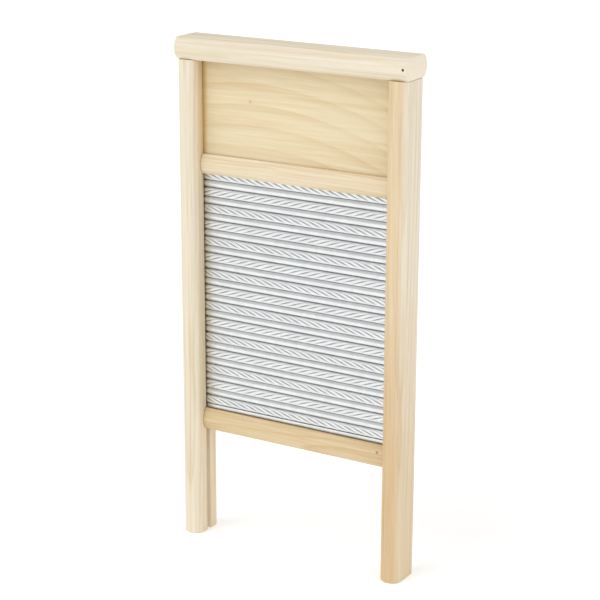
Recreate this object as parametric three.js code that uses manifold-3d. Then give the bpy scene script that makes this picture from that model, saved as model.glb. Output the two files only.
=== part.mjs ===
// Washboard, pail size: two legs, a head rail, two cross rails, a wooden splash panel and
// one corrugated rubbing sheet, held by grooves, tenons and nails.
//
// Millimetres. +Z is up, +X is the right-hand side seen from the front, and the front faces -Y.
// The origin is on the ground, midway between the feet and midway through the depth.

import * as THREE from 'three';
import { mergeVertices } from 'three/addons/utils/BufferGeometryUtils.js';
import Module from 'manifold-3d';

const wasm = await Module();
wasm.setup();

// Overall size, the play in every joint, and how far a cutting shape runs past a face
const HEIGHT = 457.2;
const WIDTH = 224;
const FIT_GAP = 0.3;
const CUT_PAST = 1;

// Legs: planed flat on the inner and outer faces, crowned at the front and back
const LEG_WIDTH = 19.05;
const LEG_DEPTH = 34.9;
const LEG_CROWN = 6.2;
const LEG_CENTRE_X = (WIDTH - LEG_WIDTH) / 2;
const LEG_INNER_X = WIDTH / 2 - LEG_WIDTH;

// Head rail: lies across the tops of both legs
const HEAD_HEIGHT = 19.05;
const HEAD_DEPTH = 37;
const HEAD_CROWN = 4.2;
const SHOULDER_Z = HEIGHT - HEAD_HEIGHT;

// One groove width serves the legs and the rails. It lies just in front of the middle.
const GROOVE_Y = -0.6;
const GROOVE_WIDTH = 5.6;
const LEG_GROOVE_DEPTH = 6;
const RAIL_GROOVE_DEPTH = 5;
const INFILL_THICKNESS = GROOVE_WIDTH - 2 * FIT_GAP;
const INNER_GROOVE_X = LEG_INNER_X + LEG_GROOVE_DEPTH;
const INFILL_HALF_WIDTH = INNER_GROOVE_X - 2 * FIT_GAP;

// Cross rails: thinner than the legs, so they stand back from the front of the frame
const RAIL_DEPTH = 16;
const RAIL_CROWN = 3.7;
const MIDDLE_RAIL = { bottom: 337.8, top: 355.5 };
const BOTTOM_RAIL = { bottom: 100.8, top: 120.8 };

// Leg tenons in the head rail. The root is the part of the tenon inside its own leg.
const TENON_WIDTH = 10;
const TENON_DEPTH = 14;
const TENON_HEIGHT = 12;
const TENON_CENTRE_X = 105.25;
const TENON_ROOT = 5;

// Rubbing sheet: plain ribs and twisted ribs take turns up the sheet
const TWISTED_RIB = 8.3;
const PLAIN_RIB = 6.51;
const RIB_PERIOD = TWISTED_RIB + PLAIN_RIB;
const LOWEST_TWISTED_RIB_Z = 124.46;
const SHEET_DEPTH = 4;
const SHEET_THICKNESS_Y = 0.8;
const RIB_STEPS = 6;
const RIB_FULLNESS = 0.75;

// Nails: a head, a neck that narrows to the shank, and a point. Each one is set below the wood.
const HEAD_NAIL = { shank: 0.7, head: 1.05, headThickness: 0.8, length: 25.4 };
const BRAD = { shank: 0.7, head: 1.05, headThickness: 0.8, length: 22.2 };
const HEAD_NAIL_X = 109;
const HEAD_NAIL_Z = 448;
const BRAD_X = 95.8;
const HEAD_NAIL_SET = 0.35;
const BRAD_SET = 1.05;
const NAIL_NECK = 0.5;
const NAIL_POINT = 2;
const HOLE_MOUTH = 4;
const MOUTH_OVERLAP = 0.01;
const NAIL_SIDES = 12;
const CROWN_STEPS = 12;

const poplar = new THREE.MeshStandardMaterial({ color: 0xdccfb4, roughness: 0.72, metalness: 0 });
const panelPoplar = new THREE.MeshStandardMaterial({ color: 0xdcc9a2, roughness: 0.72, metalness: 0 });
const galvanised = new THREE.MeshStandardMaterial({ color: 0xc9cbcc, roughness: 0.36, metalness: 1 });
const nailSteel = new THREE.MeshStandardMaterial({ color: 0x5a534c, roughness: 0.55, metalness: 1 });

// Shape's X runs up the part, shape's Y runs along the part's Y, and the extrusion runs along X.
const LAID_ALONG_X = new THREE.Matrix4().makeBasis(
  new THREE.Vector3(0, 0, 1),
  new THREE.Vector3(0, 1, 0),
  new THREE.Vector3(-1, 0, 0),
);

// A closed three.js geometry as a solid for cutting and joining.
function solid(geometry) {
  const bare = geometry.clone();
  bare.deleteAttribute('normal');
  bare.deleteAttribute('uv');
  const merged = mergeVertices(bare);
  return new wasm.Manifold(new wasm.Mesh({
    numProp: 3,
    vertProperties: Float32Array.from(merged.attributes.position.array),
    triVerts: Uint32Array.from(merged.index.array),
  }));
}

// A finished solid as a named mesh.
function piece(name, body, material) {
  const { vertProperties, triVerts } = body.getMesh();
  const geometry = new THREE.BufferGeometry();
  geometry.setAttribute('position', new THREE.BufferAttribute(vertProperties, 3));
  geometry.setIndex(new THREE.BufferAttribute(triVerts, 1));
  geometry.computeVertexNormals();
  const mesh = new THREE.Mesh(geometry, material.clone());
  mesh.name = name;
  return mesh;
}

function block(low, high) {
  const geometry = new THREE.BoxGeometry(high[0] - low[0], high[1] - low[1], high[2] - low[2]);
  geometry.translate((low[0] + high[0]) / 2, (low[1] + high[1]) / 2, (low[2] + high[2]) / 2);
  return solid(geometry);
}

// Two flat sides, `thickness` apart, and two faces rounded outwards by `crown`.
function crownedOutline(thickness, depth, crown) {
  const radius = ((thickness / 2) ** 2 + crown ** 2) / (2 * crown);
  const corner = depth / 2 - crown;
  const centre = depth / 2 - radius;
  const start = Math.atan2(corner - centre, thickness / 2);
  const outline = new THREE.Shape();
  outline.moveTo(thickness / 2, -corner);
  outline.lineTo(thickness / 2, corner);
  outline.absarc(0, centre, radius, start, Math.PI - start, false);
  outline.lineTo(-thickness / 2, -corner);
  outline.absarc(0, -centre, radius, Math.PI + start, 2 * Math.PI - start, false);
  return outline;
}

// A crowned bar lying along X between -halfLength and +halfLength.
function crossBar({ bottom, top }, depth, crown, halfLength, centreY) {
  const outline = crownedOutline(top - bottom, depth, crown);
  const geometry = new THREE.ExtrudeGeometry(outline, {
    depth: 2 * halfLength,
    bevelEnabled: false,
    curveSegments: CROWN_STEPS,
  });
  geometry.applyMatrix4(LAID_ALONG_X);
  geometry.translate(halfLength, centreY, (bottom + top) / 2);
  return solid(geometry);
}

// The groove that holds the panel, the sheet and the rail tenons, between two heights.
function grooveAcross(bottom, top, halfLength) {
  const front = GROOVE_Y - GROOVE_WIDTH / 2;
  return block([-halfLength, front, bottom], [halfLength, front + GROOVE_WIDTH, top]);
}

// A nail along Y. It enters at `entryY` and runs `inward` (+1 from the front, -1 from the back).
function nail(size, x, z, entryY, inward, grow = 0) {
  const outline = [
    new THREE.Vector2(0, 0),
    new THREE.Vector2(size.head + grow, 0),
    new THREE.Vector2(size.head + grow, size.headThickness + grow),
    new THREE.Vector2(size.shank + grow, size.headThickness + NAIL_NECK + grow),
    new THREE.Vector2(size.shank + grow, size.length - NAIL_POINT),
    new THREE.Vector2(0, size.length + grow),
  ];
  const geometry = new THREE.LatheGeometry(outline, NAIL_SIDES);
  if (inward < 0) {
    geometry.rotateX(Math.PI);
  }
  geometry.translate(x, entryY, z);
  return solid(geometry);
}

// The hole a nail has made for itself, open to the outside above its head.
function nailHole(size, x, z, entryY, inward) {
  const radius = size.head + FIT_GAP;
  const mouth = new THREE.CylinderGeometry(radius, radius, HOLE_MOUTH, NAIL_SIDES);
  mouth.translate(x, entryY - inward * (HOLE_MOUTH / 2 - MOUTH_OVERLAP), z);
  return nail(size, x, z, entryY, inward, FIT_GAP).add(solid(mouth));
}

// Depth of a crowned face at `offset` from its middle.
function crownAt(thickness, depth, crown, offset) {
  const radius = ((thickness / 2) ** 2 + crown ** 2) / (2 * crown);
  return depth / 2 - radius + Math.sqrt(radius ** 2 - offset ** 2);
}

const headNailOffset = HEAD_NAIL_Z - HEIGHT + HEAD_HEIGHT / 2;
const headNailEntry = crownAt(HEAD_HEIGHT, HEAD_DEPTH, HEAD_CROWN, headNailOffset) - HEAD_NAIL_SET;
const bradEntry = crownAt(LEG_WIDTH, LEG_DEPTH, LEG_CROWN, LEG_CENTRE_X - BRAD_X) - BRAD_SET;
const middleBradZ = (MIDDLE_RAIL.bottom + MIDDLE_RAIL.top) / 2;
const bottomBradZ = (BOTTOM_RAIL.bottom + BOTTOM_RAIL.top - RAIL_GROOVE_DEPTH) / 2;

// Every nail has its own node. The right head nail is driven from the front and the left one
// from the back, so that neither splits the rail. The brads all go in from the back.
const nails = [];
for (const side of [-1, 1]) {
  const hand = side < 0 ? 'left' : 'right';
  nails.push({
    name: `head_nail_${hand}`,
    size: HEAD_NAIL,
    x: side * HEAD_NAIL_X,
    z: HEAD_NAIL_Z,
    entry: -side * headNailEntry,
    inward: side,
  });
  for (const [rail, z] of [['middle', middleBradZ], ['bottom', bottomBradZ]]) {
    nails.push({
      name: `${rail}_rail_brad_${hand}`,
      size: BRAD,
      x: side * BRAD_X,
      z,
      entry: bradEntry,
      inward: -1,
    });
  }
}

function withNailHoles(body) {
  let drilled = body;
  for (const each of nails) {
    drilled = drilled.subtract(nailHole(each.size, each.x, each.z, each.entry, each.inward));
  }
  return drilled;
}

// A leg: crowned bar, a tenon on top and a groove down the whole inner face.
function leg(side) {
  const shaft = new THREE.ExtrudeGeometry(crownedOutline(LEG_WIDTH, LEG_DEPTH, LEG_CROWN), {
    depth: SHOULDER_Z - FIT_GAP,
    bevelEnabled: false,
    curveSegments: CROWN_STEPS,
  });
  shaft.translate(side * LEG_CENTRE_X, 0, 0);
  const tenonX = side * TENON_CENTRE_X;
  const tenon = block(
    [tenonX - TENON_WIDTH / 2, -TENON_DEPTH / 2, SHOULDER_Z - TENON_ROOT],
    [tenonX + TENON_WIDTH / 2, TENON_DEPTH / 2, SHOULDER_Z + TENON_HEIGHT],
  );
  const groove = grooveAcross(-CUT_PAST, SHOULDER_Z + CUT_PAST, INNER_GROOVE_X);
  return withNailHoles(solid(shaft).add(tenon).subtract(groove));
}

// The head rail: a crowned bar, grooved underneath for the panel and mortised for both legs.
function headRail() {
  let body = crossBar({ bottom: SHOULDER_Z, top: HEIGHT }, HEAD_DEPTH, HEAD_CROWN, WIDTH / 2, 0);
  body = body.subtract(
    grooveAcross(SHOULDER_Z - CUT_PAST, SHOULDER_Z + LEG_GROOVE_DEPTH, INNER_GROOVE_X),
  );
  for (const side of [-1, 1]) {
    const x = side * TENON_CENTRE_X;
    const half = TENON_WIDTH / 2 + FIT_GAP;
    const deep = TENON_DEPTH / 2 + FIT_GAP;
    const mortise = block(
      [x - half, -deep, SHOULDER_Z - CUT_PAST],
      [x + half, deep, SHOULDER_Z + TENON_HEIGHT + FIT_GAP],
    );
    body = body.subtract(mortise);
  }
  return withNailHoles(body);
}

// A cross rail butts against the legs, and its tenons reach into the leg grooves.
function crossRail(span, groovedAbove, groovedBelow) {
  const shoulder = LEG_INNER_X - FIT_GAP;
  const tenonFront = GROOVE_Y - INFILL_THICKNESS / 2;
  const tenons = block(
    [-INFILL_HALF_WIDTH, tenonFront, span.bottom],
    [INFILL_HALF_WIDTH, tenonFront + INFILL_THICKNESS, span.top],
  );
  let body = crossBar(span, RAIL_DEPTH, RAIL_CROWN, shoulder, GROOVE_Y).add(tenons);
  if (groovedAbove) {
    const bed = span.top - RAIL_GROOVE_DEPTH;
    body = body.subtract(grooveAcross(bed, span.top + CUT_PAST, WIDTH / 2));
  }
  if (groovedBelow) {
    const bed = span.bottom + RAIL_GROOVE_DEPTH;
    body = body.subtract(grooveAcross(span.bottom - CUT_PAST, bed, WIDTH / 2));
  }
  return withNailHoles(body);
}

// The wooden panel above the rubbing sheet, housed in grooves on all four sides.
function upperPanel() {
  const front = GROOVE_Y - INFILL_THICKNESS / 2;
  return block(
    [-INFILL_HALF_WIDTH, front, MIDDLE_RAIL.top - RAIL_GROOVE_DEPTH + FIT_GAP],
    [INFILL_HALF_WIDTH, front + INFILL_THICKNESS, SHOULDER_Z + LEG_GROOVE_DEPTH - 2 * FIT_GAP],
  );
}

// One sheet pressed into full round ribs with narrow valleys between them.
function rubbingSheet() {
  const bottom = BOTTOM_RAIL.top - RAIL_GROOVE_DEPTH + 2 * FIT_GAP;
  const top = MIDDLE_RAIL.bottom + RAIL_GROOVE_DEPTH - 2 * FIT_GAP;
  const crestY = GROOVE_Y - SHEET_DEPTH / 2;
  const ribHeight = SHEET_DEPTH - SHEET_THICKNESS_Y;
  const front = [];
  let ribStart = LOWEST_TWISTED_RIB_Z - RIB_PERIOD;
  let ribWidth = TWISTED_RIB;
  while (ribStart < top) {
    for (let step = 0; step < RIB_STEPS; step += 1) {
      const share = step / RIB_STEPS;
      const z = ribStart + share * ribWidth;
      const fullness = Math.sin(Math.PI * share) ** RIB_FULLNESS;
      if (z > bottom && z < top) {
        front.push(new THREE.Vector2(z, crestY + ribHeight * (1 - fullness)));
      }
    }
    ribStart += ribWidth;
    ribWidth = RIB_PERIOD - ribWidth;
  }
  front.unshift(new THREE.Vector2(bottom, front[0].y));
  front.push(new THREE.Vector2(top, front[front.length - 1].y));
  const back = front.map((point) => new THREE.Vector2(point.x, point.y + SHEET_THICKNESS_Y));
  const outline = new THREE.Shape([...front, ...back.reverse()]);
  const geometry = new THREE.ExtrudeGeometry(outline, {
    depth: 2 * INFILL_HALF_WIDTH,
    bevelEnabled: false,
  });
  geometry.applyMatrix4(LAID_ALONG_X);
  geometry.translate(INFILL_HALF_WIDTH, 0, 0);
  return solid(geometry);
}

const frame = new THREE.Group();
frame.add(piece('head_rail', headRail(), poplar));
frame.add(piece('left_leg', leg(-1), poplar));
frame.add(piece('right_leg', leg(1), poplar));
frame.add(piece('middle_rail', crossRail(MIDDLE_RAIL, true, true), poplar));
frame.add(piece('bottom_rail', crossRail(BOTTOM_RAIL, true, false), poplar));

const infill = new THREE.Group();
infill.add(piece('upper_panel', upperPanel(), panelPoplar));
infill.add(piece('rubbing_sheet', rubbingSheet(), galvanised));

const fixings = new THREE.Group();
for (const each of nails) {
  const body = nail(each.size, each.x, each.z, each.entry, each.inward);
  fixings.add(piece(each.name, body, nailSteel));
}

const washboard = new THREE.Group();
washboard.add(frame, infill, fixings);

export default washboard;
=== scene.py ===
import math

import bmesh
import bpy
from mathutils import Matrix, Vector


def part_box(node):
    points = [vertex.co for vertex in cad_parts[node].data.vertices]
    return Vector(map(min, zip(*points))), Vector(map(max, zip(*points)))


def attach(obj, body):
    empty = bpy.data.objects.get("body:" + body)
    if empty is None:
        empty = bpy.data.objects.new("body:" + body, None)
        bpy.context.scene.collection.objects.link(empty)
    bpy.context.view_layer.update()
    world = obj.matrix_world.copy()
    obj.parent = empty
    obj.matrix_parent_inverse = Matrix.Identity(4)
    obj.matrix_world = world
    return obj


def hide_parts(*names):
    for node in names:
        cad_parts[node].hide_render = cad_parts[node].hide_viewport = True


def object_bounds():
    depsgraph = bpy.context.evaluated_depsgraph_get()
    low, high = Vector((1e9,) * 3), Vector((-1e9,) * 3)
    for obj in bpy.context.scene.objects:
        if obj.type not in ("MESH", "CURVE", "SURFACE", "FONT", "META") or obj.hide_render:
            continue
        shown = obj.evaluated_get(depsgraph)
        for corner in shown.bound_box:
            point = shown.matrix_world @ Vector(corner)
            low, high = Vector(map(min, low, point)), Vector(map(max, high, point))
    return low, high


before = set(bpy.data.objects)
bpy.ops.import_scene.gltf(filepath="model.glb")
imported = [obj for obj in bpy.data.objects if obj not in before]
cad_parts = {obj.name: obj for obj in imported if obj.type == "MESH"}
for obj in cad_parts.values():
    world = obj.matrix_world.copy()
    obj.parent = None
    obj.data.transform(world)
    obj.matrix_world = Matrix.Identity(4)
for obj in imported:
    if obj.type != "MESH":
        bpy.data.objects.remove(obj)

bl_info = {
    "name": "Washboard",
    "version": (1, 0, 0),
    "blender": (4, 5, 0),
    "location": "View3D > Sidebar > Washboard",
    "description": "Builds a pail-size washboard in planed poplar with a galvanised rubbing sheet",
    "category": "Add Mesh",
}

MM = 0.001
CAD_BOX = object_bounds()
SMOOTH_ANGLE = math.radians(32)
SHARP_ANGLE = math.radians(22)

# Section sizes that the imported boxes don't give, in millimetres.
LEG_CROWN = 6.2
HEAD_CROWN = 4.2
RAIL_CROWN = 3.7
RAIL_DEPTH = 16.0
GROOVE_Y = -0.6
GROOVE_WIDTH = 5.6
LEG_GROOVE_DEPTH = 6.0
RAIL_GROOVE_DEPTH = 5.0
FIT_GAP = 0.3

# Tenons. A root is the part of a tenon that lies inside its own piece.
TENON_X = 105.25
TENON_HALF_WIDTH = 5.0
TENON_HALF_DEPTH = 7.0
TENON_ROOT = 5.0
RAIL_TENON_ROOT = 4.0

# How far a cutting shape runs past the face it cuts, and how close two places count as one.
CUT_PAST = 1.0
SAME_PLACE = 1e-4
CROWN_STEPS = 18
ARRIS_STEPS = 3
# The cross rails are sanded less than the rest of the frame.
RAIL_ARRIS_SHARE = 0.6

# Nails, with the shank and the head's thickness as shares of the head's radius.
SHANK_SHARE = 0.63
HEAD_THICKNESS_SHARE = 0.6
NAIL_NECK = 0.5
NAIL_POINT = 2.0
NAIL_SIDES = 32
NAIL_ARRIS = 0.15
HOLE_PLAY = 0.12
HOLE_MOUTH = 3.0

# Patterns in the wood, in millimetres along and across the grain.
WANDER_LENGTH = 90
STREAK_LENGTH = 420
PATCH_LENGTH = 160
PATCH_WIDTH = 30
FIBRE_LENGTH = 45
END_GRAIN_SHARE = 0.8
# The tints are spread over the range that most of the streak noise lies in.
STREAK_START = 0.30
STREAK_RANGE = 0.42
# The darkest part of a fleck, as a share of its size.
FLECK_CORE = 0.2

# Patterns in the zinc, the nail steel and the floor, in millimetres.
SPANGLE_SIZE = 5
RUB_LENGTH = 25
RUB_WIDTH = 0.5
RUST_SIZE = 0.8
CAST_SIZE = 200

# The rubbing sheet: rows of faces up each kind of rib, and how far its crest stays inside the
# packed sheet's front.
TWISTED_ROWS = 10
PLAIN_ROWS = 7
CREST_GAP = 0.02
# Across one strand: (place from 0 to 1, share of the pressed line's depth).
STRAND_STOPS = ((0.0, 1.0), (0.07, 0.62), (0.15, 0.22), (0.3, 0.05), (0.5, 0.0), (0.7, 0.05),
                (0.85, 0.22), (0.93, 0.62))
# How far across a twisted rib the pressed lines reach, and where the painted shade of the valley
# starts on any rib. 0 is the middle of the rib and 1 is the valley.
STROKE_REACH = 0.74
VALLEY_SHADE_START = 0.9
# The flat margin under the lowest rib: its height, as a share of a rib's, and the gap in
# millimetres that it leaves for the valley above it.
MARGIN_RISE = 0.7
MARGIN_GAP = 0.1

# Stage: the point that the camera looks at, the floor and the suns. A sun is (name, azimuth,
# elevation, strength, colour), with its angles in degrees.
TARGET_X = 3.57
TARGET_Z = 236.28
FLOOR_HALF_SIZE = 60.0
FLOOR_GAP = 0.2
SUN_SPREAD = 50
SUNS = (
    ("key", -35, 45, 0.95, "#fffdf8"),
    ("fill", 75, 35, 0.55, "#ffffff"),
)


def linear(hex_colour):
    """An sRGB hex colour as linear red, green, blue and alpha."""
    channels = []
    for start in (1, 3, 5):
        value = int(hex_colour[start:start + 2], 16) / 255
        channels.append(value / 12.92 if value <= 0.04045 else ((value + 0.055) / 1.055) ** 2.4)
    return (*channels, 1.0)


# ---------------------------------------------------------------- sizes and colours

class WashboardWood(bpy.types.PropertyGroup):
    """The planed poplar of the frame and the panel"""
    arris: bpy.props.FloatProperty(
        name="Arris", description="Width of the sanded-off edge on the frame, in millimetres",
        default=0.55, min=0.05, max=2.0)
    panel_arris: bpy.props.FloatProperty(
        name="Panel arris", description="Width of the eased edge on the thin panel, in millimetres",
        default=0.25, min=0.05, max=1.0)
    fibre_width: bpy.props.FloatProperty(
        name="Fibre width", description="Width of the fine grain lines, in millimetres",
        default=0.9, min=0.2, max=5.0)
    streak_width: bpy.props.FloatProperty(
        name="Streak width", description="Width of the broad colour streaks, in millimetres",
        default=4.5, min=1.0, max=40.0)
    end_grain: bpy.props.FloatVectorProperty(
        name="End grain", description="Colour of the sanded ends of the head rail",
        default=linear("#ebe0ca"), size=4, min=0.0, max=1.0, subtype="COLOR")


class WashboardSheet(bpy.types.PropertyGroup):
    """The galvanised rubbing sheet"""
    gauge: bpy.props.FloatProperty(
        name="Gauge", description="Thickness of the sheet, in millimetres",
        default=0.45, min=0.2, max=0.8)
    plain_rib: bpy.props.FloatProperty(
        name="Plain rib", description="Height of a plain rib from valley to valley, in millimetres",
        default=6.51, min=3.0, max=15.0)
    twisted_rib: bpy.props.FloatProperty(
        name="Twisted rib", description="Height of a twisted rib from valley to valley, in millimetres",
        default=8.3, min=3.0, max=15.0)
    first_valley: bpy.props.FloatProperty(
        name="First valley", description="First valley above the bottom rail, in millimetres",
        default=3.66, min=0.0, max=15.0)
    strand_pitch: bpy.props.FloatProperty(
        name="Strand pitch",
        description="Distance along a twisted rib from strand to strand, in millimetres",
        default=9.13, min=4.0, max=20.0)
    strand_lean: bpy.props.FloatProperty(
        name="Strand lean", description="Run along the rib for each millimetre of rib height",
        default=2.7, min=0.0, max=4.0)
    strand_depth: bpy.props.FloatProperty(
        name="Strand depth", description="Depth of the pressed line between strands, in millimetres",
        default=0.5, min=0.0, max=2.0)
    rib_rise: bpy.props.FloatProperty(
        name="Rib rise", description="How far a rib stands out from its valleys, in millimetres",
        default=1.9, min=0.5, max=3.5)
    zinc_dark: bpy.props.FloatVectorProperty(
        name="Dark zinc", description="Colour of the darkest zinc crystals",
        default=linear("#e3e5e6"), size=4, min=0.0, max=1.0, subtype="COLOR")
    zinc_bright: bpy.props.FloatVectorProperty(
        name="Bright zinc", description="Colour of the brightest zinc crystals",
        default=linear("#eceeef"), size=4, min=0.0, max=1.0, subtype="COLOR")
    # Painted shade: this tint, with dust, darkens the pressed lines and the valleys where the ribs
    # shade them.
    dust_and_shade_tint: bpy.props.FloatVectorProperty(
        name="Dust_and_shade", description="Tint of the dust and dull zinc in the pressed lines",
        default=linear("#b2b4b5"), size=4, min=0.0, max=1.0, subtype="COLOR")


class WashboardStage(bpy.types.PropertyGroup):
    """Camera, floor and light"""
    azimuth: bpy.props.FloatProperty(
        name="Azimuth", description="Camera angle round the board, from the front towards its right",
        default=math.radians(30.91), subtype="ANGLE")
    elevation: bpy.props.FloatProperty(
        name="Elevation", description="Camera angle above the horizon",
        default=math.radians(16.68), subtype="ANGLE")
    roll: bpy.props.FloatProperty(
        name="Roll", description="Tilt of the camera about its own axis",
        default=math.radians(0.2), subtype="ANGLE")
    distance: bpy.props.FloatProperty(
        name="Distance", description="Camera to the point it looks at",
        default=1.5789, unit="LENGTH", subtype="DISTANCE")
    lens: bpy.props.FloatProperty(
        name="Lens", description="Focal length in millimetres on a 36 mm wide sensor",
        default=109.6, min=20.0, max=300.0)
    sky: bpy.props.FloatProperty(
        name="Room light", description="Brightness of the even light from all round",
        default=0.66, min=0.0, max=5.0)


# ---------------------------------------------------------------- materials

def add_node(tree, kind, settings=None, inputs=None):
    """Adds a node. Settings are its own properties, or the (position, colour) stops of a ramp.
    Inputs are values, or sockets to link from.
    """
    node = tree.nodes.new(kind)
    for key, value in (settings or {}).items():
        if key == "stops":
            for element, (position, colour) in zip(node.color_ramp.elements, value):
                element.position, element.color = position, colour
            for position, colour in value[2:]:
                node.color_ramp.elements.new(position).color = colour
        else:
            setattr(node, key, value)
    for key, value in (inputs or {}).items():
        if isinstance(value, bpy.types.NodeSocket):
            tree.links.new(value, node.inputs[key])
        else:
            node.inputs[key].default_value = value
    return node


def new_material(name):
    """An empty node material and its tree, with the output ready."""
    material = bpy.data.materials.new(name)
    material.use_nodes = True
    tree = material.node_tree
    tree.nodes.clear()
    output = add_node(tree, "ShaderNodeOutputMaterial")
    return material, tree, output


def planed_poplar(name, wood, look):
    """Poplar, planed and left bare: a pale, even, matt wood with long soft streaks of cream,
    straw, pink and green-grey, and a fine straight fibre that only just catches the light.
    """
    material, tree, output = new_material(name)
    coordinates = add_node(tree, "ShaderNodeTexCoord").outputs["Object"]
    # Turned so that the grain runs along the pattern's own X, and shifted so no two pieces match.
    turn = (0, math.radians(90), 0) if look["grain"] == "Z" else (0, 0, 0)
    grain = add_node(tree, "ShaderNodeMapping", inputs={
        "Vector": coordinates, "Location": look["shift"], "Rotation": turn}).outputs["Vector"]
    # The grain wanders a little as it runs.
    wander = add_node(tree, "ShaderNodeTexNoise", inputs={
        "Vector": grain, "Scale": 1 / (WANDER_LENGTH * MM), "Detail": 1.0})
    wander_size = look["wander"] * MM
    wandering = add_node(tree, "ShaderNodeVectorMath", {"operation": "MULTIPLY_ADD"}, {
        0: wander.outputs["Color"], 1: (0, wander_size, wander_size), 2: grain}).outputs[0]

    def stretched(length, width, detail):
        """Noise drawn out along the grain, with a feature length and width in millimetres."""
        scaled = add_node(tree, "ShaderNodeMapping", {"vector_type": "POINT"}, {
            "Vector": wandering, "Scale": (1 / (length * MM), 1 / (width * MM), 1 / (width * MM))})
        return add_node(tree, "ShaderNodeTexNoise", inputs={
            "Vector": scaled.outputs["Vector"], "Scale": 1.0, "Detail": detail,
            "Roughness": 0.55}).outputs["Fac"]

    streaks = stretched(STREAK_LENGTH, wood.streak_width * look["streak_scale"], 2.0)
    tints = look["tints"]
    last = len(tints) - 1
    stops = [(STREAK_START + STREAK_RANGE * i / last, linear(tint)) for i, tint in enumerate(tints)]
    colour = add_node(tree, "ShaderNodeValToRGB", {"stops": stops}, {"Fac": streaks}).outputs[0]

    # Heartwood: the board runs from pale sapwood into tanner wood along one side or end. On the
    # upper panel the same ramp is a painted shadow, darker towards the left leg's lip.
    for axis, pale, tan, tint in look.get("heartwood_and_shade", ()):
        place = add_node(tree, "ShaderNodeSeparateXYZ", inputs={"Vector": coordinates}).outputs[axis]
        tan_part = add_node(tree, "ShaderNodeMapRange", {"interpolation_type": "SMOOTHSTEP"}, {
            "Value": place, "From Min": pale * MM, "From Max": tan * MM}).outputs["Result"]
        colour = add_node(tree, "ShaderNodeMix", {"data_type": "RGBA", "blend_type": "MULTIPLY"}, {
            0: tan_part, 6: colour, 7: linear(tint)}).outputs[2]

    # Growth rings: cones round a heart line that lies off the board, cut flat by the saw.
    parts = add_node(tree, "ShaderNodeSeparateXYZ", inputs={"Vector": wandering})
    along, deep, across = parts.outputs["X"], parts.outputs["Y"], parts.outputs["Z"]
    heart_x, heart_across = look["heart"]
    run = add_node(tree, "ShaderNodeMath", {"operation": "SUBTRACT"}, {0: along, 1: heart_x}).outputs[0]
    slope = add_node(tree, "ShaderNodeMath", {"operation": "MULTIPLY_ADD"}, {
        0: run, 1: look["bow"], 2: look["drift"]}).outputs[0]
    drift = add_node(tree, "ShaderNodeMath", {"operation": "MULTIPLY_ADD"}, {
        0: run, 1: slope, 2: across}).outputs[0]
    offset = add_node(tree, "ShaderNodeMath", {"operation": "SUBTRACT"}, {
        0: drift, 1: heart_across}).outputs[0]
    square = add_node(tree, "ShaderNodeMath", {"operation": "MULTIPLY"}, {0: offset, 1: offset})
    height = look["heart_depth"]
    depth_to_heart = add_node(tree, "ShaderNodeMath", {"operation": "ADD"}, {0: deep, 1: height})
    depth_square = add_node(tree, "ShaderNodeMath", {"operation": "MULTIPLY"}, {
        0: depth_to_heart.outputs[0], 1: depth_to_heart.outputs[0]})
    total = add_node(tree, "ShaderNodeMath", {"operation": "ADD"}, {
        0: square.outputs[0], 1: depth_square.outputs[0]})
    radius = add_node(tree, "ShaderNodeMath", {"operation": "SQRT"}, {0: total.outputs[0]})
    cone = add_node(tree, "ShaderNodeMath", {"operation": "MULTIPLY_ADD"}, {
        0: run, 1: -look["taper"], 2: radius.outputs[0]})
    rings = add_node(tree, "ShaderNodeMath", {"operation": "DIVIDE"}, {
        0: cone.outputs[0], 1: look["ring"] * MM})
    share = add_node(tree, "ShaderNodeMath", {"operation": "FRACT"}, {0: rings.outputs[0]})
    # Each ring darkens slowly to its late wood and stops short at the next spring's growth.
    late = add_node(tree, "ShaderNodeValToRGB", {"stops": [
        (0.0, (0, 0, 0, 1)), (1.0, (0, 0, 0, 1)), (0.55, (0.12, 0.12, 0.12, 1)),
        (0.84, (0.8, 0.8, 0.8, 1)), (0.90, (1, 1, 1, 1))]}, {"Fac": share.outputs[0]}).outputs[0]
    patches = stretched(PATCH_LENGTH, PATCH_WIDTH, 1.0)
    late_part = add_node(tree, "ShaderNodeMath", {"operation": "MULTIPLY"}, {0: late, 1: patches})
    ring_strength = add_node(tree, "ShaderNodeMath", {"operation": "MULTIPLY", "use_clamp": True}, {
        0: late_part.outputs[0], 1: look["ring_strength"]})
    colour = add_node(tree, "ShaderNodeMix", {"data_type": "RGBA"}, {
        0: ring_strength.outputs[0], 6: colour, 7: linear(look["late"])}).outputs[2]

    # Fibre: the finest lines, drawn about twice their real width so that they show.
    fibre = stretched(FIBRE_LENGTH, wood.fibre_width, 4.0)
    shade = look["fibre"]
    fibre_tint = add_node(tree, "ShaderNodeValToRGB", {"stops": [
        (0.30, (shade, shade * 0.99, shade * 0.97, 1)), (0.62, (1, 1, 1, 1))]}, {"Fac": fibre})
    colour = add_node(tree, "ShaderNodeMix", {"data_type": "RGBA", "blend_type": "MULTIPLY"}, {
        0: 1.0, 6: colour, 7: fibre_tint.outputs["Color"]}).outputs[2]

    # A fleck: one small mark in the grain.
    if "fleck" in look:
        centre, size, tint = look["fleck"]
        away = add_node(tree, "ShaderNodeVectorMath", {"operation": "DISTANCE"}, {
            0: coordinates, 1: [value * MM for value in centre]}).outputs["Value"]
        fleck = add_node(tree, "ShaderNodeMapRange", {"interpolation_type": "SMOOTHSTEP"}, {
            "Value": away, "From Min": size * MM, "From Max": FLECK_CORE * size * MM})
        colour = add_node(tree, "ShaderNodeMix", {"data_type": "RGBA", "blend_type": "MULTIPLY"}, {
            0: fleck.outputs["Result"], 6: colour, 7: linear(tint)}).outputs[2]

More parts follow.
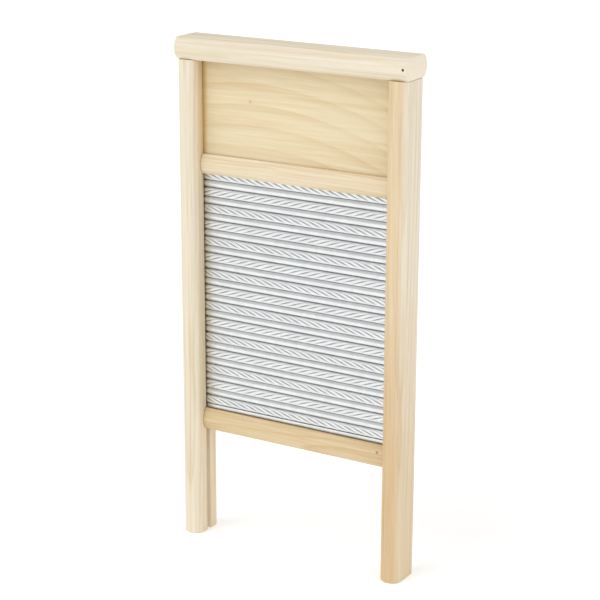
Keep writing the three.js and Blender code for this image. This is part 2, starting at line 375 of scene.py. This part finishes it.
    # Sawn and sanded end grain: the lines become dots, and the dust in the pores evens them out.
    if "end_grain" in look:
        start, full = look["end_grain"]
        place = add_node(tree, "ShaderNodeSeparateXYZ", inputs={"Vector": coordinates}).outputs["X"]
        out = add_node(tree, "ShaderNodeMath", {"operation": "ABSOLUTE"}, {0: place}).outputs[0]
        end_part = add_node(tree, "ShaderNodeMapRange", inputs={
            "Value": out, "From Min": start * MM, "From Max": full * MM,
            "To Max": END_GRAIN_SHARE}).outputs["Result"]
        colour = add_node(tree, "ShaderNodeMix", {"data_type": "RGBA"}, {
            0: end_part, 6: colour, 7: tuple(wood.end_grain)}).outputs[2]

    bump = add_node(tree, "ShaderNodeBump", inputs={
        "Height": fibre, "Strength": 0.35, "Distance": 0.12 * MM})
    shader = add_node(tree, "ShaderNodeBsdfPrincipled", inputs={
        "Base Color": colour, "Roughness": 0.62, "IOR": 1.5, "Normal": bump.outputs["Normal"]})
    tree.links.new(shader.outputs["BSDF"], output.inputs["Surface"])
    return material


def galvanised_steel(sheet):
    """Steel sheet, hot-dip galvanised and pressed: bright and soft in its reflections, with a
    faint spangle of zinc crystals and light rubbing marks along the ribs. Its pressed lines and
    valleys are darkened by dust and by painted shade.
    """
    material, tree, output = new_material("galvanised_steel_pressed")
    coordinates = add_node(tree, "ShaderNodeTexCoord").outputs["Object"]
    # Zinc crystals, each a shade lighter or darker than the next.
    spangle = add_node(tree, "ShaderNodeTexVoronoi", inputs={
        "Vector": coordinates, "Scale": 1 / (SPANGLE_SIZE * MM)})
    crystal = add_node(tree, "ShaderNodeSeparateColor", inputs={"Color": spangle.outputs["Color"]})
    colour = add_node(tree, "ShaderNodeValToRGB", {"stops": [
        (0.0, tuple(sheet.zinc_dark)), (1.0, tuple(sheet.zinc_bright))]}, {
            "Fac": crystal.outputs[0]})
    # Dust and painted shade darken the pressed lines and the valleys, where the ribs shade them.
    pressed = add_node(tree, "ShaderNodeAttribute", {"attribute_name": "pressed_line"})
    dust_and_shade_tint = add_node(tree, "ShaderNodeValToRGB", {"stops": [
        (0.0, linear("#ffffff")), (1.0, tuple(sheet.dust_and_shade_tint))]}, {"Fac": pressed.outputs["Fac"]})
    colour = add_node(tree, "ShaderNodeMix", {"data_type": "RGBA", "blend_type": "MULTIPLY"}, {
        0: 1.0, 6: colour.outputs["Color"], 7: dust_and_shade_tint.outputs["Color"]}).outputs[2]
    # Marks from the rolls and from rubbing, drawn out along the ribs.
    across = 1 / (RUB_WIDTH * MM)
    marks_space = add_node(tree, "ShaderNodeMapping", inputs={
        "Vector": coordinates, "Scale": (1 / (RUB_LENGTH * MM), across, across)})
    marks = add_node(tree, "ShaderNodeTexNoise", inputs={
        "Vector": marks_space.outputs["Vector"], "Scale": 1.0, "Detail": 3.0})
    roughness = add_node(tree, "ShaderNodeMapRange", inputs={
        "Value": marks.outputs["Fac"], "From Min": 0.3, "From Max": 0.7, "To Min": 0.28,
        "To Max": 0.38})
    bump = add_node(tree, "ShaderNodeBump", inputs={
        "Height": marks.outputs["Fac"], "Strength": 0.15, "Distance": 0.02 * MM})
    shader = add_node(tree, "ShaderNodeBsdfPrincipled", inputs={
        "Base Color": colour, "Metallic": 1.0, "Roughness": roughness.outputs["Result"],
        "Normal": bump.outputs["Normal"]})
    tree.links.new(shader.outputs["BSDF"], output.inputs["Surface"])
    return material


def drawn_nail_steel():
    """Mild steel wire, drawn and left bare: dark grey-brown and dull, with a trace of rust."""
    material, tree, output = new_material("nail_steel_drawn")
    coordinates = add_node(tree, "ShaderNodeTexCoord").outputs["Object"]
    rust = add_node(tree, "ShaderNodeTexNoise", inputs={
        "Vector": coordinates, "Scale": 1 / (RUST_SIZE * MM), "Detail": 3.0})
    colour = add_node(tree, "ShaderNodeValToRGB", {"stops": [
        (0.4, linear("#4e4843")), (0.65, linear("#6a5545"))]}, {"Fac": rust.outputs["Fac"]})
    bump = add_node(tree, "ShaderNodeBump", inputs={
        "Height": rust.outputs["Fac"], "Strength": 0.3, "Distance": 0.05 * MM})
    shader = add_node(tree, "ShaderNodeBsdfPrincipled", inputs={
        "Base Color": colour.outputs["Color"], "Metallic": 0.9, "Roughness": 0.55,
        "Normal": bump.outputs["Normal"]})
    tree.links.new(shader.outputs["BSDF"], output.inputs["Surface"])
    return material


def light_table_acrylic():
    """Opal acrylic sheet of a light table: matt, white and even, with a little light from below."""
    material, tree, output = new_material("acrylic_opal_light_table")
    coordinates = add_node(tree, "ShaderNodeTexCoord").outputs["Object"]
    # The cast sheet is a hair uneven in thickness.
    cast = add_node(tree, "ShaderNodeTexNoise", inputs={
        "Vector": coordinates, "Scale": 1 / (CAST_SIZE * MM)})
    colour = add_node(tree, "ShaderNodeValToRGB", {"stops": [
        (0.0, linear("#f7f7f7")), (1.0, linear("#fafafa"))]}, {"Fac": cast.outputs["Fac"]})
    shader = add_node(tree, "ShaderNodeBsdfPrincipled", inputs={
        "Base Color": colour.outputs["Color"], "Roughness": 0.9, "Specular IOR Level": 0.1,
        "Emission Color": linear("#ffffff"), "Emission Strength": 0.25})
    tree.links.new(shader.outputs["BSDF"], output.inputs["Surface"])
    return material


# ---------------------------------------------------------------- shaping

def ring_of(bm, corners):
    """A closed loop of edges through a few (x, y) corners, in millimetres."""
    verts = [bm.verts.new((x * MM, y * MM, 0)) for x, y in corners]
    return [bm.edges.new((vert, verts[(i + 1) % len(verts)])) for i, vert in enumerate(verts)]


def crown_height(flat, crown, offset):
    """How far a crowned face stands out at an offset from its middle, in millimetres."""
    radius = (flat * flat / 4 + crown * crown) / (2 * crown)
    return math.sqrt(radius * radius - offset * offset) - (radius - crown)


def crowned_bar(flat, depth, crown, length, notches, centre_y=0.0):
    """A bar standing on z = 0. Its flat sides are at x = -flat/2 and +flat/2, and its front and
    back are crowned. Each notch (side, deep) is a groove down one flat side, -1 or +1.
    """
    corner = depth / 2 - crown
    grooved = dict(notches)
    front_y, back_y = GROOVE_Y - GROOVE_WIDTH / 2, GROOVE_Y + GROOVE_WIDTH / 2
    corners = [(-flat / 2, centre_y - corner), (flat / 2, centre_y - corner)]
    if 1 in grooved:
        bed = flat / 2 - grooved[1]
        corners += [(flat / 2, front_y), (bed, front_y), (bed, back_y), (flat / 2, back_y)]
    back_edge = len(corners)
    corners += [(flat / 2, centre_y + corner), (-flat / 2, centre_y + corner)]
    if -1 in grooved:
        bed = -flat / 2 + grooved[-1]
        corners += [(-flat / 2, back_y), (bed, back_y), (bed, front_y), (-flat / 2, front_y)]

    bm = bmesh.new()
    edges = ring_of(bm, corners)
    bmesh.ops.subdivide_edges(bm, edges=[edges[0], edges[back_edge]], cuts=CROWN_STEPS - 1)
    for vert in bm.verts:
        away = vert.co.y / MM - centre_y
        if abs(abs(away) - corner) < SAME_PLACE:
            rise = crown_height(flat, crown, vert.co.x / MM)
            vert.co.y = (centre_y + math.copysign(corner + rise, away)) * MM
    bmesh.ops.contextual_create(bm, geom=bm.edges[:])
    lifted = bmesh.ops.extrude_face_region(bm, geom=bm.faces[:])
    top = [item for item in lifted["geom"] if isinstance(item, bmesh.types.BMVert)]
    bmesh.ops.translate(bm, verts=top, vec=(0, 0, length * MM))
    bmesh.ops.recalc_face_normals(bm, faces=bm.faces)
    return bm


def ease_edges(bm, arris, segments=ARRIS_STEPS):
    """Rounds every sharp edge by the width of an arris, in millimetres."""
    sharp = [edge for edge in bm.edges
             if len(edge.link_faces) == 2 and edge.calc_face_angle() > SHARP_ANGLE]
    bmesh.ops.bevel(bm, geom=sharp, offset=arris * MM, offset_type="OFFSET", segments=segments,
                    profile=0.5, affect="EDGES", material=-1, clamp_overlap=True)


def lay_along_x(bm):
    """Lays a standing bar down: its length runs along X and its flat sides face up and down."""
    swap = Matrix(((0, 0, 1, 0), (0, 1, 0, 0), (1, 0, 0, 0), (0, 0, 0, 1)))
    bmesh.ops.transform(bm, matrix=swap, verts=bm.verts)
    bmesh.ops.recalc_face_normals(bm, faces=bm.faces)


def block(low, high):
    """A rectangular block between two corners, in metres."""
    bm = bmesh.new()
    bmesh.ops.create_cube(bm, size=1.0)
    size = [high[i] - low[i] for i in range(3)]
    bmesh.ops.scale(bm, vec=size, verts=bm.verts)
    middle = [(high[i] + low[i]) / 2 for i in range(3)]
    bmesh.ops.translate(bm, vec=middle, verts=bm.verts)
    return bm


def nail_shape(box, inward, grow=0.0, open_mouth=0.0):
    """A round nail along Y in a packed nail's box: head, shank and point, spun round its axis."""
    low, high = box
    head = (high.x - low.x) / 2 / MM
    length = (high.y - low.y) / MM
    shank = head * SHANK_SHARE
    thick = head * HEAD_THICKNESS_SHARE
    outline = [
        (0, -open_mouth), (head + grow, -open_mouth), (head + grow, thick + grow),
        (shank + grow, thick + NAIL_NECK + grow), (shank + grow, length - NAIL_POINT),
        (0, length + grow),
    ]
    bm = bmesh.new()
    verts = [bm.verts.new((r * MM, y * MM, 0)) for r, y in outline]
    edges = [bm.edges.new(pair) for pair in zip(verts, verts[1:])]
    bmesh.ops.spin(bm, geom=verts + edges, cent=(0, 0, 0), axis=(0, 1, 0), angle=math.tau,
                   steps=NAIL_SIDES, use_merge=True, use_duplicate=False)
    bmesh.ops.remove_doubles(bm, verts=bm.verts, dist=1e-6)
    if inward < 0:
        bmesh.ops.rotate(bm, verts=bm.verts, cent=(0, 0, 0), matrix=Matrix.Rotation(math.pi, 3, "X"))
    start_y = low.y if inward > 0 else high.y
    centre = ((low.x + high.x) / 2, start_y, (low.z + high.z) / 2)
    bmesh.ops.translate(bm, vec=centre, verts=bm.verts)
    bmesh.ops.recalc_face_normals(bm, faces=bm.faces)
    return bm


# Each nail's way in: +1 is driven from the front and -1 from the back.
NAILS = {
    "head_nail_left": -1, "head_nail_right": 1,
    "middle_rail_brad_left": -1, "middle_rail_brad_right": -1,
    "bottom_rail_brad_left": -1, "bottom_rail_brad_right": -1,
}


def nail_holes():
    """The shape of every nail hole, a shade wider than its nail and open to the outside."""
    return [nail_shape(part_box(name), inward, grow=HOLE_PLAY, open_mouth=HOLE_MOUTH)
            for name, inward in NAILS.items()]


def object_from(name, bm):
    """A linked object at the origin holding a bmesh."""
    mesh = bpy.data.meshes.new(name)
    bm.to_mesh(mesh)
    bm.free()
    made = bpy.data.objects.new(name, mesh)
    bpy.context.scene.collection.objects.link(made)
    return made


def carve(bm, cutters, operation="DIFFERENCE"):
    """Cuts other shapes out of a bmesh, or joins them on, and gives back the new bmesh."""
    body = object_from("work", bm)
    helpers = [object_from("cutter", cutter) for cutter in cutters]
    for helper in helpers:
        modifier = body.modifiers.new("carve", "BOOLEAN")
        modifier.operation = operation
        modifier.solver = "EXACT"
        modifier.object = helper
    evaluated = body.evaluated_get(bpy.context.evaluated_depsgraph_get())
    result = bmesh.new()
    result.from_mesh(evaluated.to_mesh())
    evaluated.to_mesh_clear()
    for used in [body, *helpers]:
        mesh = used.data
        bpy.data.objects.remove(used)
        bpy.data.meshes.remove(mesh)
    return result


def finish_piece(name, bm, material, node):
    """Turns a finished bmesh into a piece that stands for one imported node."""
    piece = object_from(name, bm)
    piece.data.shade_smooth()
    piece.data.set_sharp_from_angle(angle=SMOOTH_ANGLE)
    piece.data.materials.append(material)
    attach(piece, "root")
    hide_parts(node)
    return piece


# ---------------------------------------------------------------- looks of each wooden piece

FRAME_TINTS = ("#dccca9", "#e6dbc2", "#ebe2d0", "#e6d8c4", "#dfd7ba")
RAIL_TINTS = ("#dfccaa", "#e5d4b4", "#ebddc2", "#e4d1b3", "#e8daba")
TAN_TINTS = ("#d0b689", "#d9c298", "#dfcaa4", "#d5bb90", "#d8c396")
PANEL_TINTS = ("#e0cca5", "#e4d4b0", "#e9dab9", "#e3d0ab", "#e6d6b4")

# How each piece is cut from the log, with the grain along X or Z. The shift and the heart, which is
# (along the grain, across it), are in metres in the pattern's own space, where X runs along the
# grain. So is the heart's depth. Drift, bow and taper are the slope, bend and narrowing of the
# rings along the grain. The wander and the ring spacing are in millimetres. Fibre is the shade of
# the darkest fibre, where 1 leaves the wood as it is.
# The rest is in millimetres in the board's frame: heartwood and shade is (axis, where it is palest,
# where it is tannest, tint), which is heartwood on the legs and a painted shadow on the upper panel. A
# fleck is (centre, size, tint), and end grain is (start, full) in X.
LOOKS = {
    "head_rail": {
        "grain": "X", "shift": (0.31, 0.02, 0.13), "tints": FRAME_TINTS,
        "streak_scale": 1.3, "wander": 6, "heart": (0.2, 0.02), "heart_depth": 0.06,
        "drift": 0.02, "bow": 0, "taper": 0.03, "ring": 5.0,
        "late": "#cfb88c", "ring_strength": 0.45, "fibre": 0.94,
        "end_grain": (111.3, 111.8)},
    "left_leg": {
        "grain": "Z", "shift": (0.83, 0.41, 0.27), "tints": FRAME_TINTS,
        "streak_scale": 0.8, "wander": 3, "heart": (0.9, 0.35), "heart_depth": 0.05,
        "drift": 0.015, "bow": 0, "taper": 0.012, "ring": 4.2,
        "late": "#cdb386", "ring_strength": 0.6, "fibre": 0.93,
        "heartwood_and_shade": [("X", -96, -92.5, "#fbf4e8")]},
    "right_leg": {
        "grain": "Z", "shift": (1.63, 0.22, 0.57), "tints": FRAME_TINTS,
        "streak_scale": 0.8, "wander": 3, "heart": (1.9, 0.17), "heart_depth": 0.05,
        "drift": -0.01, "bow": 0, "taper": 0.012, "ring": 4.0,
        "late": "#c9ac7e", "ring_strength": 0.6, "fibre": 0.93,
        "heartwood_and_shade": [("X", 112, 106, "#f7ead7"), ("Z", 300, 80, "#f3e9da")]},
    "middle_rail": {
        "grain": "X", "shift": (2.13, 0.32, 0.07), "tints": RAIL_TINTS,
        "streak_scale": 1.2, "wander": 4, "heart": (2.0, 0.1), "heart_depth": 0.09,
        "drift": 0.02, "bow": 0, "taper": 0.02, "ring": 4.6,
        "late": "#cdae7b", "ring_strength": 0.5, "fibre": 0.93},
    "bottom_rail": {
        "grain": "X", "shift": (2.93, 0.52, 0.37), "tints": TAN_TINTS,
        "streak_scale": 1.2, "wander": 4, "heart": (2.7, 0.2), "heart_depth": 0.09,
        "drift": -0.02, "bow": 0, "taper": 0.03, "ring": 4.0,
        "late": "#c09a68", "ring_strength": 0.6, "fibre": 0.92,
        "fleck": ((85.8, -8.5, 114.6), 1.9, "#c79a74")},
    "upper_panel": {
        "grain": "X", "shift": (0.0, 0.0, 0.0), "tints": PANEL_TINTS,
        "streak_scale": 2.2, "wander": 5, "heart": (-0.0446, 0.3351), "heart_depth": 0.007,
        "drift": 0.0, "bow": 1.5, "taper": 0.0, "ring": 18.0, "late": "#c9a76f",
        "ring_strength": 0.55, "fibre": 0.94, "fleck": ((-44.6, -3.1, 405.3), 2.4, "#f1e3c9"),
        # Painted shadow: the panel's left end darkens to orange-brown towards the left leg's lip, where
        # its shadow falls.
        "heartwood_and_shade": [("X", -87, -93.5, "#eecf94")]},
}


def wood_for(node, wood):
    """The poplar of one piece, with its own streaks and rings."""
    return planed_poplar(f"poplar_planed_{node}", wood, LOOKS[node])


# ---------------------------------------------------------------- operators

class WASHBOARD_OT_legs(bpy.types.Operator):
    """Make the two grooved legs with their tenons"""
    bl_idname = "washboard.legs"
    bl_label = "Legs"

    def execute(self, context):
        wood = context.scene.washboard_wood
        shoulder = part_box("head_rail")[0].z - FIT_GAP * MM
        for node, side in (("left_leg", -1), ("right_leg", 1)):
            low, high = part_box(node)
            width = (high.x - low.x) / MM
            depth = (high.y - low.y) / MM
            # The groove faces the middle of the board.
            bm = crowned_bar(width, depth, LEG_CROWN, shoulder / MM, [(-side, LEG_GROOVE_DEPTH)])
            bmesh.ops.translate(bm, vec=((low.x + high.x) / 2, 0, 0), verts=bm.verts)
            ease_edges(bm, wood.arris)
            tenon_x = side * TENON_X * MM
            half_width, half_depth = TENON_HALF_WIDTH * MM, TENON_HALF_DEPTH * MM
            tenon = block((tenon_x - half_width, -half_depth, shoulder - TENON_ROOT * MM),
                          (tenon_x + half_width, half_depth, high.z))
            bm = carve(bm, [tenon], "UNION")
            bm = carve(bm, nail_holes())
            finish_piece(f"{node}_planed", bm, wood_for(node, wood), node)
        return {"FINISHED"}


class WASHBOARD_OT_head_rail(bpy.types.Operator):
    """Make the head rail with its panel groove, mortises and nail holes"""
    bl_idname = "washboard.head_rail"
    bl_label = "Head rail"

    def execute(self, context):
        wood = context.scene.washboard_wood
        low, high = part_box("head_rail")
        height = (high.z - low.z) / MM
        length = (high.x - low.x) / MM
        depth = (high.y - low.y) / MM
        bm = crowned_bar(height, depth, HEAD_CROWN, length, [])
        lay_along_x(bm)
        bmesh.ops.translate(bm, vec=(low.x, 0, (low.z + high.z) / 2), verts=bm.verts)
        ease_edges(bm, wood.arris)
        panel_low, panel_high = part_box("upper_panel")
        gap = FIT_GAP * MM
        below = low.z - CUT_PAST * MM
        groove = block((panel_low.x - gap, panel_low.y - gap, below),
                       (panel_high.x + gap, panel_high.y + gap, panel_high.z + gap))
        cutters = [groove]
        tenon_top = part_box("left_leg")[1].z
        half_width = TENON_HALF_WIDTH * MM + gap
        half_depth = TENON_HALF_DEPTH * MM + gap
        for side in (-1, 1):
            x = side * TENON_X * MM
            cutters.append(block((x - half_width, -half_depth, below),
                                 (x + half_width, half_depth, tenon_top + gap)))
        bm = carve(bm, cutters)
        bm = carve(bm, nail_holes())
        finish_piece("head_rail_planed", bm, wood_for("head_rail", wood), "head_rail")
        return {"FINISHED"}


class WASHBOARD_OT_cross_rails(bpy.types.Operator):
    """Make the middle and bottom rails with their grooves and tenons"""
    bl_idname = "washboard.cross_rails"
    bl_label = "Cross rails"

    def execute(self, context):
        wood = context.scene.washboard_wood
        inner_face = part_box("right_leg")[0].x
        shoulder = inner_face - FIT_GAP * MM
        # +1 is the upper side of a rail and -1 its lower side.
        grooves = {"middle_rail": (1, -1), "bottom_rail": (1,)}
        for node, sides in grooves.items():
            low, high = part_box(node)
            height = (high.z - low.z) / MM
            notches = [(side, RAIL_GROOVE_DEPTH) for side in sides]
            bm = crowned_bar(height, RAIL_DEPTH, RAIL_CROWN, 2 * shoulder / MM, notches, GROOVE_Y)
            lay_along_x(bm)
            bmesh.ops.translate(bm, vec=(-shoulder, 0, (low.z + high.z) / 2), verts=bm.verts)
            ease_edges(bm, wood.arris * RAIL_ARRIS_SHARE)
            gap = FIT_GAP * MM
            half_tenon = (GROOVE_WIDTH / 2 - FIT_GAP) * MM
            tenon_low = low.z + (RAIL_GROOVE_DEPTH * MM + gap if -1 in sides else gap)
            tenon_high = high.z - RAIL_GROOVE_DEPTH * MM - gap
            root = shoulder - RAIL_TENON_ROOT * MM
            tenons = [block((x0, GROOVE_Y * MM - half_tenon, tenon_low),
                            (x1, GROOVE_Y * MM + half_tenon, tenon_high))
                      for x0, x1 in ((low.x, -root), (root, high.x))]
            bm = carve(bm, tenons, "UNION")
            bm = carve(bm, nail_holes())
            finish_piece(f"{node}_planed", bm, wood_for(node, wood), node)
        return {"FINISHED"}


class WASHBOARD_OT_upper_panel(bpy.types.Operator):
    """Make the thin panel above the rubbing sheet"""
    bl_idname = "washboard.upper_panel"
    bl_label = "Upper panel"

    def execute(self, context):
        wood = context.scene.washboard_wood
        bm = block(*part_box("upper_panel"))
        ease_edges(bm, wood.panel_arris, segments=2)
        finish_piece("upper_panel_planed", bm, wood_for("upper_panel", wood), "upper_panel")
        return {"FINISHED"}


def rib_rows(sheet, bottom, top, first_valley):
    """Rows of the sheet from bottom to top: (height, place across the rib from -1 to 1, whether the
    rib is twisted, slide of the strands). The strands change hand on each twisted rib.
    """
    period = sheet.plain_rib + sheet.twisted_rib
    rows = []
    start = first_valley - period
    hand = 1
    lean_now = 0.0
    twisted = True
    while start < top:
        width = sheet.twisted_rib if twisted else sheet.plain_rib
        steps = TWISTED_ROWS if twisted else PLAIN_ROWS
        for step in range(steps):
            angle = math.pi * (step / steps - 0.5)
            height = start + width * (math.sin(angle) + 1) / 2
            share = math.sin(angle)
            slide = lean_now
            if twisted:
                slide = lean_now + hand * sheet.strand_lean * (height - start)
            if bottom < height < top:
                rows.append((height, share, twisted, slide))
        if twisted:
            lean_now += hand * sheet.strand_lean * width
            hand = -hand
        twisted = not twisted
        start += width
    rows.insert(0, (bottom, *rows[0][1:]))
    rows.append((top, *rows[-1][1:]))
    return rows


def rib_fullness(share, twisted):
    """How full a rib is at a place across it: a broad flat top on a twisted rib, a round one on
    a plain rib, and nothing at the valleys.
    """
    if twisted:
        return (1 - share ** 6) ** 0.5
    return (1 - share * share) ** 0.55


class WASHBOARD_OT_rubbing_sheet(bpy.types.Operator):
    """Press the galvanised sheet into plain ribs and rope-twist ribs"""
    bl_idname = "washboard.rubbing_sheet"
    bl_label = "Rubbing sheet"

    def execute(self, context):
        sheet = context.scene.washboard_sheet
        low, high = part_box("rubbing_sheet")
        first_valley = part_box("bottom_rail")[1].z / MM + sheet.first_valley
        rows = rib_rows(sheet, low.z / MM, high.z / MM, first_valley)
        columns_per_strand = len(STRAND_STOPS)
        slides = [row[3] for row in rows]
        middle_slide = (min(slides) + max(slides)) / 2
        spread = (max(slides) - min(slides)) / 2
        half_width = (high.x - low.x) / 2 / MM
        strands = math.ceil((half_width + spread) / sheet.strand_pitch) + 1
        half_columns = strands * columns_per_strand
        crest = low.y / MM + CREST_GAP

        bm = bmesh.new()
        bmesh.ops.create_grid(bm, x_segments=2 * half_columns, y_segments=len(rows) - 1, size=0.5)
        # Painted shade: each vertex gets a share of darkening, from dust and from the shade in the
        # pressed lines and valleys.
        shade = bm.verts.layers.float.new("pressed_line")
        for vert in bm.verts:
            column = round((vert.co.x + 0.5) * 2 * half_columns) - half_columns
            height, share, twisted, slide = rows[round((vert.co.y + 0.5) * (len(rows) - 1))]
            strand, place = divmod(column, columns_per_strand)
            stop, press = STRAND_STOPS[place]
            in_margin = height < first_valley - MARGIN_GAP
            # A narrow line is pressed between each strand and the next.
            line = 0.0
            if twisted and not in_margin:
                line = press * max(0.0, 1 - (share / STROKE_REACH) ** 2)
            fullness = MARGIN_RISE if in_margin else rib_fullness(share, twisted)
            rise = sheet.rib_rise * fullness - sheet.strand_depth * line
            # The valley share paints shade into the valleys between the ribs.
            valley = max(0.0, (abs(share) - VALLEY_SHADE_START) / (1 - VALLEY_SHADE_START))
            vert[shade] = max(line, valley)
            vert.co = Vector(((strand + stop) * sheet.strand_pitch + slide - middle_slide,
                              crest + sheet.rib_rise - rise, height)) * MM
        for side in (-1, 1):
            edge = half_width * side * MM
            geometry = bm.verts[:] + bm.edges[:] + bm.faces[:]
            bmesh.ops.bisect_plane(bm, geom=geometry, plane_co=(edge, 0, 0), plane_no=(side, 0, 0),
                                   clear_outer=True)
        bmesh.ops.recalc_face_normals(bm, faces=bm.faces)
        if sum(face.normal.y for face in bm.faces) > 0:
            bmesh.ops.reverse_faces(bm, faces=bm.faces)
        piece = finish_piece("rubbing_sheet_pressed", bm, galvanised_steel(sheet),
                             "rubbing_sheet")
        thickness = piece.modifiers.new("gauge", "SOLIDIFY")
        thickness.thickness = sheet.gauge * MM
        thickness.offset = -1.0
        return {"FINISHED"}


class WASHBOARD_OT_nails(bpy.types.Operator):
    """Make the two head nails and the four rail brads"""
    bl_idname = "washboard.nails"
    bl_label = "Nails"

    def execute(self, context):
        steel = drawn_nail_steel()
        for name, inward in NAILS.items():
            bm = nail_shape(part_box(name), inward)
            ease_edges(bm, NAIL_ARRIS, segments=2)
            finish_piece(f"{name}_drawn", bm, steel, name)
        return {"FINISHED"}


def soft_sun(name, azimuth, elevation, strength, tint):
    """A very wide, soft sun for an even light. Metal doesn't mirror it, only the room and floor."""
    lamp = bpy.data.lights.new(name, "SUN")
    lamp.energy = strength
    lamp.angle = math.radians(SUN_SPREAD)
    lamp.color = linear(tint)[:3]
    light = bpy.data.objects.new(name, lamp)
    level = math.cos(math.radians(elevation))
    back = Vector((math.sin(math.radians(azimuth)) * level, -math.cos(math.radians(azimuth)) * level,
                   math.sin(math.radians(elevation))))
    light.rotation_euler = (-back).to_track_quat("-Z", "Y").to_euler()
    light.visible_glossy = False
    bpy.context.scene.collection.objects.link(light)


class WASHBOARD_OT_stage(bpy.types.Operator):
    """Set up the camera, the white floor and the soft studio light"""
    bl_idname = "washboard.stage"
    bl_label = "Stage"

    def execute(self, context):
        stage = context.scene.washboard_stage
        low = CAD_BOX[0]
        target = Vector((TARGET_X * MM, 0, low.z + TARGET_Z * MM))
        level = math.cos(stage.elevation)
        back = Vector((math.sin(stage.azimuth) * level, -math.cos(stage.azimuth) * level,
                       math.sin(stage.elevation)))
        camera_data = bpy.data.cameras.new("camera")
        camera_data.lens = stage.lens
        camera_data.sensor_width = 36
        camera_data.clip_end = 100
        camera = bpy.data.objects.new("camera", camera_data)
        facing = (-back).to_track_quat("-Z", "Y").to_matrix() @ Matrix.Rotation(stage.roll, 3, "Z")
        camera.matrix_world = Matrix.Translation(target + back * stage.distance) @ facing.to_4x4()
        context.scene.collection.objects.link(camera)
        context.scene.camera = camera

        bm = bmesh.new()
        bmesh.ops.create_grid(bm, x_segments=8, y_segments=8, size=FLOOR_HALF_SIZE)
        bmesh.ops.translate(bm, vec=(0, 0, low.z - FLOOR_GAP * MM), verts=bm.verts)
        floor = object_from("floor", bm)
        floor.data.materials.append(light_table_acrylic())

        world = bpy.data.worlds.new("room")
        world.use_nodes = True
        background = world.node_tree.nodes["Background"]
        background.inputs["Color"].default_value = linear("#ffffff")
        # The room lights the board softly, and shows as plain white where it is seen past the floor.
        seen = add_node(world.node_tree, "ShaderNodeLightPath").outputs["Is Camera Ray"]
        glow = add_node(world.node_tree, "ShaderNodeMath", {"operation": "MULTIPLY_ADD"}, {
            0: seen, 1: 1 - stage.sky, 2: stage.sky})
        world.node_tree.links.new(glow.outputs[0], background.inputs["Strength"])
        context.scene.world = world
        context.scene.view_settings.view_transform = "Standard"

        for sun in SUNS:
            soft_sun(*sun)
        return {"FINISHED"}


STEPS = ("stage", "legs", "head_rail", "cross_rails", "upper_panel", "rubbing_sheet", "nails")


class WASHBOARD_PT_panel(bpy.types.Panel):
    """Sizes and build steps of the washboard"""
    bl_idname = "WASHBOARD_PT_panel"
    bl_label = "Washboard"
    bl_space_type = "VIEW_3D"
    bl_region_type = "UI"
    bl_category = "Washboard"

    def draw(self, context):
        layout = self.layout
        for group in ("washboard_wood", "washboard_sheet", "washboard_stage"):
            settings = getattr(context.scene, group)
            for name in settings.bl_rna.properties.keys():
                if name not in ("rna_type", "name"):
                    layout.prop(settings, name)
        for step in STEPS:
            layout.operator(f"washboard.{step}")


CLASSES = (
    WashboardWood, WashboardSheet, WashboardStage,
    WASHBOARD_OT_stage, WASHBOARD_OT_legs, WASHBOARD_OT_head_rail, WASHBOARD_OT_cross_rails,
    WASHBOARD_OT_upper_panel, WASHBOARD_OT_rubbing_sheet, WASHBOARD_OT_nails,
    WASHBOARD_PT_panel,
)


def register():
    """Adds the classes and the settings to Blender."""
    for cls in CLASSES:
        bpy.utils.register_class(cls)
    bpy.types.Scene.washboard_wood = bpy.props.PointerProperty(type=WashboardWood)
    bpy.types.Scene.washboard_sheet = bpy.props.PointerProperty(type=WashboardSheet)
    bpy.types.Scene.washboard_stage = bpy.props.PointerProperty(type=WashboardStage)


def unregister():
    """Takes the settings and the classes out again."""
    del bpy.types.Scene.washboard_stage
    del bpy.types.Scene.washboard_sheet
    del bpy.types.Scene.washboard_wood
    for cls in reversed(CLASSES):
        bpy.utils.unregister_class(cls)


def main():
    """Builds the whole washboard, step by step."""
    register()
    for step in STEPS:
        getattr(bpy.ops.washboard, step)()


if __name__ == "__main__":
    main()
